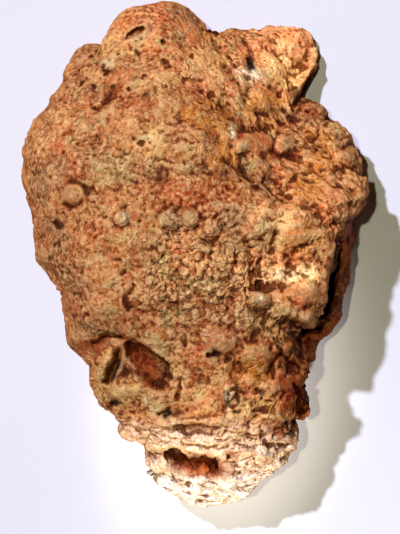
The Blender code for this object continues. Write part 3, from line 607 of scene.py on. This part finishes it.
def ledges_lift(points):
    """Lift of the ledges: high on the left of each path, low on its right."""
    wandering = bent(points, 4.0, 1.2, 31)
    lift = np.zeros(len(points))
    for drop, fade, *path in LEDGES:
        gap, side = path_gap(wandering, path)
        low = np.where(side > 0.0, np.exp(-gap / fade) * ease(0.0, 1.4, gap), 0.0)
        high = np.where(side > 0.0, 0.0, np.exp(-gap / fade))
        ends = np.minimum(*(np.hypot(*(wandering[:, :2] - path[end]).T) for end in (0, -1)))
        lift += 0.5 * drop * (high - low) * ease(0.0, 5.0, ends)
    return lift


def grooves_lift(points):
    """Lift, below zero, of the broad grooves."""
    wandering = bent(points, 4.0, 0.9, 35)
    lift = np.zeros(len(points))
    for half_width, depth, *path in GROOVES:
        lift -= depth * np.exp(-(path_gap(wandering, path)[0] / half_width) ** 2)
    return lift


def crust_lumps(points, normals, calm, facing_up):
    """Lumps with creases between them, and shells flaked off the crust."""
    right = ease(0.0, 26.0, points[:, 0])
    low_end = ease(-50.0, -62.0, points[:, 1])
    bumpy = np.maximum(0.5 + 0.3 * right, 0.8 - 0.8 * facing_up)
    place = bent(points, 10.0, 2.4, 41)
    height = LUMP_HEIGHT * np.abs(noise(place, LUMP_SIZE, 44))
    height += 0.6 * LUMP_HEIGHT * np.abs(noise(place, 0.55 * LUMP_SIZE, 45))
    height = (height - 0.5 * LUMP_HEIGHT) * bumpy
    shells = terraced(2.6 * SHELL_STEP * noise(place, SHELL_SIZE, 46), SHELL_STEP)
    height += shells * np.maximum(0.12 + 0.38 * right, 0.7 * low_end)
    height += 2.4 * (1.0 - facing_up) * noise(place, 1.4 * LUMP_SIZE, 47)
    height *= (1.0 - 0.8 * calm) * (1.0 - resting(points))
    return points + normals * height[:, None]


def sculpt(directions, triangles):
    """The surface in mm from unit directions, and where small relief is calmed."""
    points = plain_form(directions)
    points = swell(points, vertex_normals(points, triangles))
    points = pull_in_shelf(refit_outline(points))
    points[:, 2] -= CLEFT_DEPTH * cleft_share(points)
    facing_up = ease(0.1, 0.5, vertex_normals(points, triangles)[:, 2])
    move, dug = openings_dug(points)
    lift, domed = domes_lift(points, DOMES)
    lift += ledges_lift(points) + grooves_lift(points)
    move[:, 2] += lift
    calm = np.maximum(0.7 * dug, domed) * facing_up
    points = points + move * facing_up[:, None]
    points = crust_lumps(points, vertex_normals(points, triangles), calm, facing_up)
    return refit_outline(points), calm


# ------------ the crust's fine relief
def strewn_domes(points, spacing, share, smallest, largest, seed):
    """Height of domes strewn over a share of a jittered lattice's cells."""
    maker = np.random.default_rng(seed)
    table = maker.permutation(256)
    jitter = maker.uniform(0.15, 0.85, size=(256, 3))
    filled = maker.random(256) < share
    radius = np.where(filled, maker.uniform(smallest, largest, 256), 0.0) / spacing
    grid = points / spacing
    cell = np.floor(grid).astype(np.int64)
    height = np.zeros(len(points))
    for step in itertools.product((-1, 0, 1), repeat=3):
        pick = lattice_pick(table, cell + step)
        gap = np.linalg.norm(cell + step + jitter[pick] - grid, axis=1)
        height = np.maximum(height, np.sqrt(np.clip(radius[pick] ** 2 - gap ** 2, 0.0, None)))
    return height * spacing


def folds(points, size, seed):
    """Round swellings with sharp creases between them, about -0.3 to 0.7."""
    return np.abs(noise(points, size, seed)) - 0.3


def fine_crust(points, normals, calm):
    """Relief too fine for the solid: beads, flaked shells, ropey folds, pits, ledges and grains.

    Each layer below has a height, a size and a seed, and a share that varies over the stone.
    """
    right = ease(0.0, 24.0, points[:, 0] + 6.0 * noise(points, 22.0, 148))
    low_end = ease(-54.0, -61.0, points[:, 1] + 4.0 * noise(points, 20.0, 149))
    beady = ease(1.35, 0.65, oval_gap(points, *BEADED_GROUND))
    uneven = np.clip(0.75 + 1.1 * noise(points, 13.0, 152), 0.25, 1.4)
    place = bent(points, 5.0, 1.3, 141)
    height = 1.0 * folds(place, 6.5, 144) * (0.2 + 0.45 * right)
    height += 0.8 * folds(place, 3.8, 145) * (0.25 + 0.55 * right) * uneven
    height += 0.5 * folds(place, 2.2, 146) * (0.5 + 0.4 * right) * uneven
    height += 0.34 * noise(points, 1.5, 147) * uneven
    height += terraced(2.0 * noise(place, 9.0, 150), 0.7) * (0.35 + 0.35 * right)
    lumpy = bent(points, 2.5, 0.5, 151)
    height += strewn_domes(lumpy, 4.4, 0.7, 1.0, 2.1, 154) * (0.1 + 0.5 * beady)
    height += 0.4 * strewn_domes(lumpy, 2.8, 0.5, 0.5, 1.1, 155) * uneven
    height -= strewn_domes(lumpy, 4.0, 0.35, 0.4, 1.0, 156) * (1.0 - 0.5 * right)
    height *= 1.0 - low_end
    height += ragged_ledges(bent(points, 6.0, 1.8, 157)) * low_end
    height *= (1.0 - 0.75 * calm) * (1.0 - resting(points))
    return points + normals * height[:, None]


def ragged_ledges(points):
    """Thin ragged ledges across the narrow end, in broken strips."""
    tilted = points.copy()
    tilted[:, 1] += 0.12 * points[:, 0] + 0.4 * points[:, 2]
    strips = terraced(3.0 * noise(tilted * (0.25, 1.0, 0.5), 4.4, 161), 1.3)
    thin = noise(tilted * (0.3, 1.0, 0.5), 2.0, 162)
    grains = 0.25 * noise(points, 1.2, 164)
    return 0.7 * strips + 0.7 * thin + 0.5 * folds(points, 2.2, 163) + grains


def small_features(points):
    """Lift of the upper face from its small pits, beads, shells and slits."""
    wandering = bent(points, 3.0, 0.5, 171)
    rough = 0.35 * noise(points, 1.8, 174)
    lift = domes_lift(points, BEADS)[0]
    broken = ease(-0.25, 0.35, noise(points, 7.0, 175) + 0.1)
    for height, *oval in RINGS:
        gap = oval_gap(wandering, *oval)
        crest = np.exp(-((gap - 1.0) / 0.15) ** 2)
        lift += height * broken * (crest - 0.7 * np.exp(-((gap - 0.7) / 0.14) ** 2))
    for half_width, depth, *path in SLITS:
        lift -= depth * np.exp(-(path_gap(wandering, path)[0] / half_width) ** 2)
    for x, y, radius, depth in PITS:
        gap = oval_gap(wandering, x, y, radius, radius) + rough
        lift -= depth * (1.0 - ease(0.5, 1.3, gap))
    return lift


def fine_sculpt(directions, triangles):
    """The surface with its fine relief, in mm."""
    points, calm = sculpt(directions, triangles)
    normals = vertex_normals(points, triangles)
    points[:, 2] += small_features(points) * ease(0.1, 0.5, normals[:, 2])
    points = fine_crust(points, vertex_normals(points, triangles), calm)
    points[:, 2] = np.maximum(points[:, 2], 0.0)
    return points


# ------------ mesh reading and writing
def mesh_array(items, key, count, columns, kind=float):
    """So many values of a mesh's points, corners or edges, in rows of so many columns."""
    flat = np.empty(count, dtype=kind)
    items.foreach_get(key, flat)
    return flat.reshape(-1, columns)


def mesh_points(mesh):
    return mesh_array(mesh.vertices, "co", 3 * len(mesh.vertices), 3)


def mesh_triangles(mesh):
    return mesh_array(mesh.loops, "vertex_index", len(mesh.loops), 3, np.int64)


def add_attribute(mesh, name, values):
    layer = mesh.attributes.new(name, "FLOAT", "POINT")
    layer.data.foreach_set("value", np.clip(values, 0.0, 1.0).astype(np.float32))


def edge_pairs(mesh):
    return mesh_array(mesh.edges, "vertices", 2 * len(mesh.edges), 2, np.int64)


def relaxed(values, pairs, rounds):
    """Each vertex's values averaged with its neighbours' again and again."""
    count = len(values)
    degree = np.bincount(pairs.ravel(), minlength=count).astype(float)
    first, second = pairs.T
    now = values
    for _ in range(rounds):
        total = np.column_stack([
            np.bincount(first, column[second], count) + np.bincount(second, column[first], count)
            for column in now.T])
        now = 0.5 * now + 0.5 * total / degree[:, None]
    return now


def hollowness(mesh, points, rounds, depth):
    """0.5 on even ground, towards 1 in hollows and 0 on tops, `depth` mm at the ends."""
    normals = vertex_normals(points, mesh_triangles(mesh))
    sunk = np.einsum("ij,ij->i", relaxed(points, edge_pairs(mesh), rounds) - points, normals)
    return 0.5 + 0.5 * np.clip(sunk / depth, -1.0, 1.0)


def stain_field(points, stains, ragged):
    """How strongly a set of stains shows at each point, with ragged edges."""
    field = np.zeros(len(points))
    for strength, *oval in stains:
        gap = oval_gap(points, *oval) + ragged
        field = np.maximum(field, strength * (1.0 - ease(0.5, 1.3, gap)))
    return field


def paint(mesh):
    """Writes the attributes that the crust's material mixes its colours from."""
    points = mesh_points(mesh) / MM
    upward = vertex_normals(points, mesh_triangles(mesh))[:, 2]
    # painted shade: steep faces are made darker and browner
    add_attribute(mesh, "steep", ease(0.8, 0.25, upward))
    facing_up = ease(-0.45, 0.05, upward)
    facing_up = np.maximum(facing_up, ease(40.0, 55.0, points[:, 2]))
    ragged = 0.45 * noise(points, 6.0, 61) + 0.25 * noise(points, 2.4, 62)
    # the stains, and the painted light, each written as an attribute
    for name, stains, _ in (*STAINS, ("painted_light", PAINTED_LIGHT, None)):
        add_attribute(mesh, name, stain_field(points, stains, ragged) * facing_up)
    azimuth, reach = polar(points)
    # painted shade: the shelf beyond the rim on the right is made darker and redder brown
    flank = reach - rim_reach(azimuth)
    umber_and_painted_shade = np.maximum(stain_field(points, UMBER_AND_PAINTED_SHADE, ragged), ease(-1.5, 0.5, flank + ragged))
    add_attribute(mesh, "umber_and_painted_shade", umber_and_painted_shade * facing_up)
    fine_ragged = 0.3 * noise(points, 2.4, 62)
    add_attribute(mesh, "wine", stain_field(points, WINE, fine_ragged) * facing_up)
    # painted shade in deep places, and near black along the cleft at the wall's foot
    deep_painted_shade = stain_field(points, DEEP_PAINTED_SHADE, fine_ragged) * facing_up
    add_attribute(mesh, "deep_painted_shade", np.maximum(deep_painted_shade, ease(0.5, 0.9, cleft_share(points))))
    # the narrow end and its tip made paler: partly the crust's paler colour, partly painted light
    # for the glare on it
    add_attribute(mesh, "pale_end_and_painted_light", ease(-55.0, -64.0, points[:, 1] + 4.0 * ragged))
    add_attribute(mesh, "pale_tip_and_painted_light", ease(-70.0, -82.0, points[:, 1] + 6.0 * ragged))
    beady = ease(1.35, 0.65, oval_gap(points, *BEADED_GROUND) + 0.4 * ragged)
    scattered = ease(0.05, 0.45, noise(points, 9.0, 63))
    add_attribute(mesh, "beaded", np.maximum(0.9 * beady, 0.55 * scattered))
    # painted shade in hollows and painted highlights on tops, from how far each vertex lies below or
    # above its neighbours
    add_attribute(mesh, "fine_hollow_painted_shade_and_highlight", hollowness(mesh, points, 5, 0.25))
    add_attribute(mesh, "broad_hollow_painted_shade", hollowness(mesh, points, 50, 0.85))


# ------------ material
class Nodes:
    """A short way to add and join shader nodes."""

    def __init__(self, material):
        material.use_nodes = True
        self.tree = material.node_tree
        self.shader = self.tree.nodes["Principled BSDF"]
        self.place = self.add("TexCoord").outputs["Object"]

    def add(self, kind, inputs=(), **settings):
        """A new node with these settings, and values or sockets for its inputs."""
        node = self.tree.nodes.new("ShaderNode" + kind)
        for key, value in settings.items():
            setattr(node, key, value)
        for key, value in dict(inputs).items():
            self.put(value, node.inputs[key])
        return node

    def put(self, value, socket):
        if isinstance(value, bpy.types.NodeSocket):
            self.tree.links.new(value, socket)
        else:
            socket.default_value = value

    def attribute(self, name):
        return self.add("Attribute", attribute_name=name).outputs["Fac"]

    def noise(self, size_mm, detail=4.0, rough=0.6, seed=0.0):
        inputs = {"Vector": self.place, "W": seed, "Scale": 1000.0 / size_mm, "Detail": detail,
                  "Roughness": rough}
        return self.add("TexNoise", inputs, noise_dimensions="4D").outputs["Fac"]

    def beads(self, output="Distance", feature="F1"):
        inputs = {"Vector": self.bent_place(), "Scale": 1000.0 / BEAD_SIZE}
        return self.add("TexVoronoi", inputs, feature=feature).outputs[output]

    def bent_place(self):
        """The place moved about by noise, so that the beads are uneven."""
        wander = self.add("TexNoise", {"Vector": self.place, "Scale": 1000.0 / 6.0})
        inputs = {0: wander.outputs["Color"], 1: (0.006, 0.006, 0.006), 2: self.place}
        return self.add("VectorMath", inputs, operation="MULTIPLY_ADD").outputs["Vector"]

    def math(self, operation, first, second=0.0, clamp=False):
        inputs = {0: first, 1: second}
        node = self.add("Math", inputs, operation=operation, use_clamp=clamp)
        return node.outputs[0]

    def times(self, first, second, clamp=False):
        return self.math("MULTIPLY", first, second, clamp)

    def span(self, value, low, high, to_low=0.0, to_high=1.0):
        inputs = {"Value": value, "From Min": low, "From Max": high, "To Min": to_low,
                  "To Max": to_high}
        node = self.add("MapRange", inputs, interpolation_type="SMOOTHSTEP")
        return node.outputs["Result"]

    def mix(self, share, first, second, blend="MIX"):
        inputs = {"Factor": share, "A": first, "B": second}
        node = self.add("Mix", inputs, data_type="RGBA", blend_type=blend)
        return node.outputs["Result"]

    def tinted(self, base, share, tint):
        """The base under a share of a screen colour."""
        return self.mix(share, base, shown(*tint))

    def darkened(self, base, share, left):
        """The base with only so much of its red, green and blue left."""
        return self.mix(share, base, (*left, 1.0), "MULTIPLY")


FULL_LIGHT = (1.06, 1.12, 1.6)  # how much of each colour the level crust sends back to the camera


def shown(red, green, blue):
    """The surface colour that shows as a screen colour, 0 to 255, in full light."""
    surface = []
    for value, light in zip((red, green, blue), FULL_LIGHT):
        share = value / 255.0
        linear = share / 12.92 if share <= 0.04045 else ((share + 0.055) / 1.055) ** 2.4
        surface.append(min(linear / light, 0.95))
    return (*surface, 1.0)


BEAD_SIZE = 2.0  # of the beads that only colour and bump show, in mm
BUMP_HEIGHT = 0.0022  # in metres, for a bump height of 1

# Mottles all over: size in mm, seed, where they begin and are full, share, tint.
MOTTLES = (
    (6.0, 3.0, 0.53, 0.64, 0.6, (184, 166, 122)), (6.5, 31.0, 0.55, 0.68, 0.4, (206, 136, 60)),
    (5.0, 7.0, 0.53, 0.65, 0.7, (208, 106, 72)), (3.0, 37.0, 0.57, 0.69, 0.45, (246, 204, 158)),
    (3.4, 41.0, 0.56, 0.68, 0.55, (128, 74, 46)),
)


def crust_colour(nodes):
    """The crust's colours: mottled ground, stains and painted light, then painted shade in creases,
    hollows and on steep faces, and painted highlights on tops.
    """
    ground = nodes.span(nodes.noise(8.0, 6.0, 0.7), 0.38, 0.62)
    base = nodes.mix(ground, shown(190, 109, 62), shown(226, 163, 114))
    for size_mm, seed, low, high, share, tint in MOTTLES:
        mottle = nodes.span(nodes.noise(size_mm, 4.0, 0.62, seed), low, high, 0.0, share)
        base = nodes.tinted(base, mottle, tint)
    ragged = nodes.span(nodes.noise(2.2, 5.0, 0.7, 11.0), 0.3, 0.7, 0.4, 1.3)
    for name, _, tint in STAINS:
        share = nodes.times(nodes.attribute(name), ragged, clamp=True)
        base = nodes.tinted(base, nodes.times(share, 0.9), tint)
    # painted light: these places are made lighter all over
    base = nodes.darkened(base, nodes.attribute("painted_light"), (2.4, 2.6, 3.0))
    pale = nodes.span(nodes.noise(2.6, 5.0, 0.7, 13.0), 0.36, 0.6)
    pale = nodes.mix(pale, (0.7, 0.36, 0.18, 1.0), (0.98, 0.76, 0.56, 1.0))
    # the narrow end and its tip paler: partly the crust's colour, partly painted light
    base = nodes.mix(nodes.attribute("pale_end_and_painted_light"), base, pale)
    base = nodes.mix(nodes.attribute("pale_tip_and_painted_light"), base, (0.96, 0.86, 0.8, 1.0))

    beaded = nodes.attribute("beaded")
    bead = nodes.beads("Color")
    joint = nodes.beads(feature="DISTANCE_TO_EDGE")
    lighter = nodes.times(nodes.span(bead, 0.54, 0.75, 0.0, 0.6), beaded)
    darker = nodes.times(nodes.span(bead, 0.46, 0.25, 0.0, 0.7), beaded)
    between = nodes.times(nodes.span(joint, 0.14, 0.0, 0.0, 0.7), beaded)
    base = nodes.tinted(base, lighter, (244, 196, 152))
    base = nodes.darkened(base, darker, (0.5, 0.34, 0.22))
    base = nodes.darkened(base, between, (0.34, 0.19, 0.1))

    patch = nodes.noise(2.8, 4.0, 0.65, 29.0)
    speck = nodes.noise(1.25, 3.0, 0.75, 17.0)
    fine = nodes.attribute("fine_hollow_painted_shade_and_highlight")
    broad = nodes.attribute("broad_hollow_painted_shade")
    for value, low, high, share, change, colour in (
            (patch, 0.47, 0.34, 0.7, nodes.darkened, (0.48, 0.31, 0.16)),
            (patch, 0.56, 0.68, 0.4, nodes.tinted, (250, 200, 150)),
            (speck, 0.54, 0.68, 0.85, nodes.tinted, (255, 212, 168)),
            (speck, 0.48, 0.34, 1.0, nodes.darkened, (0.28, 0.15, 0.07)),
            (flake_lines(nodes), -0.4, -0.95, 0.55, nodes.darkened, (0.34, 0.19, 0.1)),
            # painted highlights on tops, painted shade in fine and broad hollows
            (fine, 0.42, 0.1, 0.35, nodes.tinted, (250, 214, 172)),
            (fine, 0.55, 0.95, 0.85, nodes.darkened, (0.26, 0.14, 0.06)),
            (broad, 0.55, 0.95, 0.7, nodes.darkened, (0.32, 0.17, 0.07))):
        base = change(base, nodes.span(value, low, high, 0.0, share), colour)
    # painted shade: steep faces darker and browner
    base = nodes.darkened(base, nodes.attribute("steep"), (0.88, 0.69, 0.45))
    # darker, redder brown: partly the crust's own colour, partly painted shade
    base = nodes.darkened(base, nodes.attribute("umber_and_painted_shade"), (0.5, 0.27, 0.12))
    floor_red = nodes.span(nodes.noise(3.4, 4.0, 0.7, 23.0), 0.4, 0.62)
    floor_red = nodes.mix(floor_red, shown(96, 28, 6), shown(172, 88, 46))
    base = nodes.mix(nodes.attribute("wine"), base, floor_red)
    # painted shade, near black, in deep places and the cleft
    return nodes.tinted(base, nodes.attribute("deep_painted_shade"), (40, 18, 8))


def flake_lines(nodes):
    """Thin wandering lines, -1 to 1, like the edges of flaked shells."""
    level = nodes.times(nodes.noise(10.0, 2.0, 0.5, 43.0), 70.0)
    where = nodes.span(nodes.noise(9.0, 2.0, 0.5, 47.0), 0.5, 0.62)
    return nodes.times(nodes.math("SINE", level), where)


def crust_material():
    material = bpy.data.materials.new("iron_stained_crust")
    nodes = Nodes(material)
    middle = nodes.beads()
    beads = nodes.times(nodes.times(middle, middle), -0.7)
    beads = nodes.times(beads, nodes.attribute("beaded"))
    grain = nodes.times(nodes.noise(1.3, 4.0, 0.65, 19.0), 0.7)
    flakes = nodes.times(flake_lines(nodes), 0.06)
    height = nodes.math("ADD", nodes.math("ADD", beads, grain), flakes)
    bump = nodes.add("Bump", {"Strength": 1.0, "Distance": BUMP_HEIGHT, "Height": height})
    roughness = nodes.span(nodes.noise(2.6, 3.0, 0.6, 53.0), 0.36, 0.64, 0.5, 0.95)
    for key, value in (("Base Color", crust_colour(nodes)), ("Roughness", roughness),
                       ("Specular IOR Level", 0.1), ("Normal", bump.outputs["Normal"])):
        nodes.put(value, nodes.shader.inputs[key])
    return material


# ------------ the stone
def make_stone():
    bpy.ops.mesh.primitive_ico_sphere_add(subdivisions=FINE_SPHERE_DETAIL, radius=1.0)
    stone = bpy.context.object
    stone.name = "thunderegg_crust"
    mesh = stone.data
    directions = mesh_points(mesh)
    directions /= np.linalg.norm(directions, axis=1, keepdims=True)
    points = fine_sculpt(crowded_upwards(directions), mesh_triangles(mesh))
    mesh.vertices.foreach_set("co", (points * MM).ravel())
    mesh.update()
    thin = stone.modifiers.new("thin", "DECIMATE")
    thin.ratio = FINE_KEEP
    thinned = stone.evaluated_get(bpy.context.evaluated_depsgraph_get())
    finished = bpy.data.meshes.new_from_object(thinned)
    stone.modifiers.remove(thin)
    stone.data = finished
    settle(finished)
    paint(finished)
    finished.shade_smooth()
    finished.materials.append(crust_material())
    return stone


def settle(mesh):
    """Sets the stone on the floor, its box's middle where the solid's is."""
    points = mesh_points(mesh)
    middle = np.array([(low + high) / 2.0 for low, high in zip(NODE_LOW[:2], NODE_HIGH[:2])])
    points[:, :2] += middle - (points[:, :2].max(axis=0) + points[:, :2].min(axis=0)) / 2.0
    points[:, 2] = np.maximum(points[:, 2], 0.0)
    mesh.vertices.foreach_set("co", points.ravel())
    mesh.update()


# ------------ floor, lights and camera
CAMERA_PLACE = (0.00125, -0.00455, 1.2)
CAMERA_LENS = 223.4  # mm, on a sensor 36 mm wide
FLOOR_SIZE = 6.0
FLOOR_COLOUR = (0.66, 0.66, 0.67, 1.0)
WORLD_COLOUR = (1.0, 0.94, 0.85, 1.0)
WORLD_STRENGTH = 0.008

# Lights: name, kind, azimuth and elevation in degrees, power, width in degrees, tint, and for a
# spot the point that it shines at and its distance from there.
LIGHTS = (
    ("key", "SUN", 133.0, 58.0, 4.3, 2.0, (0.75, 0.76, 1.0)),
    ("overhead", "SUN", 165.0, 81.5, 1.17, 1.5, (1.0, 0.95, 0.69)),
    ("low_fill", "SPOT", 262.0, 42.0, 10.5, 13.5, (1.0, 0.93, 0.86), (0.005, -0.085, 0.03), 0.42),
    ("floor_fill", "SPOT", 262.0, 42.0, 4.5, 18.0, (1.0, 0.95, 0.9), (0.03, -0.15, 0.0), 0.6),
)


def make_floor():
    bpy.ops.mesh.primitive_plane_add(size=FLOOR_SIZE)
    floor = bpy.context.object
    floor.name = "pale_floor"
    material = bpy.data.materials.new("pale_floor")
    material.use_nodes = True
    shader = material.node_tree.nodes["Principled BSDF"]
    shader.inputs["Base Color"].default_value = FLOOR_COLOUR
    shader.inputs["Roughness"].default_value = 0.95
    floor.data.materials.append(material)
    return floor


def add_light(name, kind, azimuth, elevation, power, width, tint, target=(0, 0, 0), distance=0):
    data = bpy.data.lights.new(name, kind)
    data.energy = power
    data.color = tint
    if kind == "SUN":
        data.angle = math.radians(width)
    else:
        data.spot_size = math.radians(width)
        data.spot_blend = 1.0
        data.shadow_soft_size = 0.01
    turn = math.radians(azimuth)
    rise = math.radians(elevation)
    level = math.cos(rise)
    source = Vector((math.cos(turn) * level, math.sin(turn) * level, math.sin(rise)))
    light = bpy.data.objects.new(name, data)
    light.rotation_euler = source.to_track_quat("Z", "Y").to_euler()
    light.location = Vector(target) + source * distance
    bpy.context.scene.collection.objects.link(light)


def make_lights():
    for light in LIGHTS:
        add_light(*light)
    world = bpy.data.worlds.new("studio")
    bpy.context.scene.world = world
    world.use_nodes = True
    world.node_tree.nodes["Background"].inputs["Color"].default_value = WORLD_COLOUR
    world.node_tree.nodes["Background"].inputs["Strength"].default_value = WORLD_STRENGTH


def make_camera():
    data = bpy.data.cameras.new("camera")
    data.lens = CAMERA_LENS
    data.sensor_width = 36.0
    camera = bpy.data.objects.new("camera", data)
    camera.location = CAMERA_PLACE
    bpy.context.scene.collection.objects.link(camera)
    bpy.context.scene.camera = camera


# ------------ the scene
bpy.context.scene.view_settings.view_transform = "Standard"
make_camera()
make_lights()
make_floor()
stone = make_stone()
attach(stone, "root")
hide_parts(NODE)
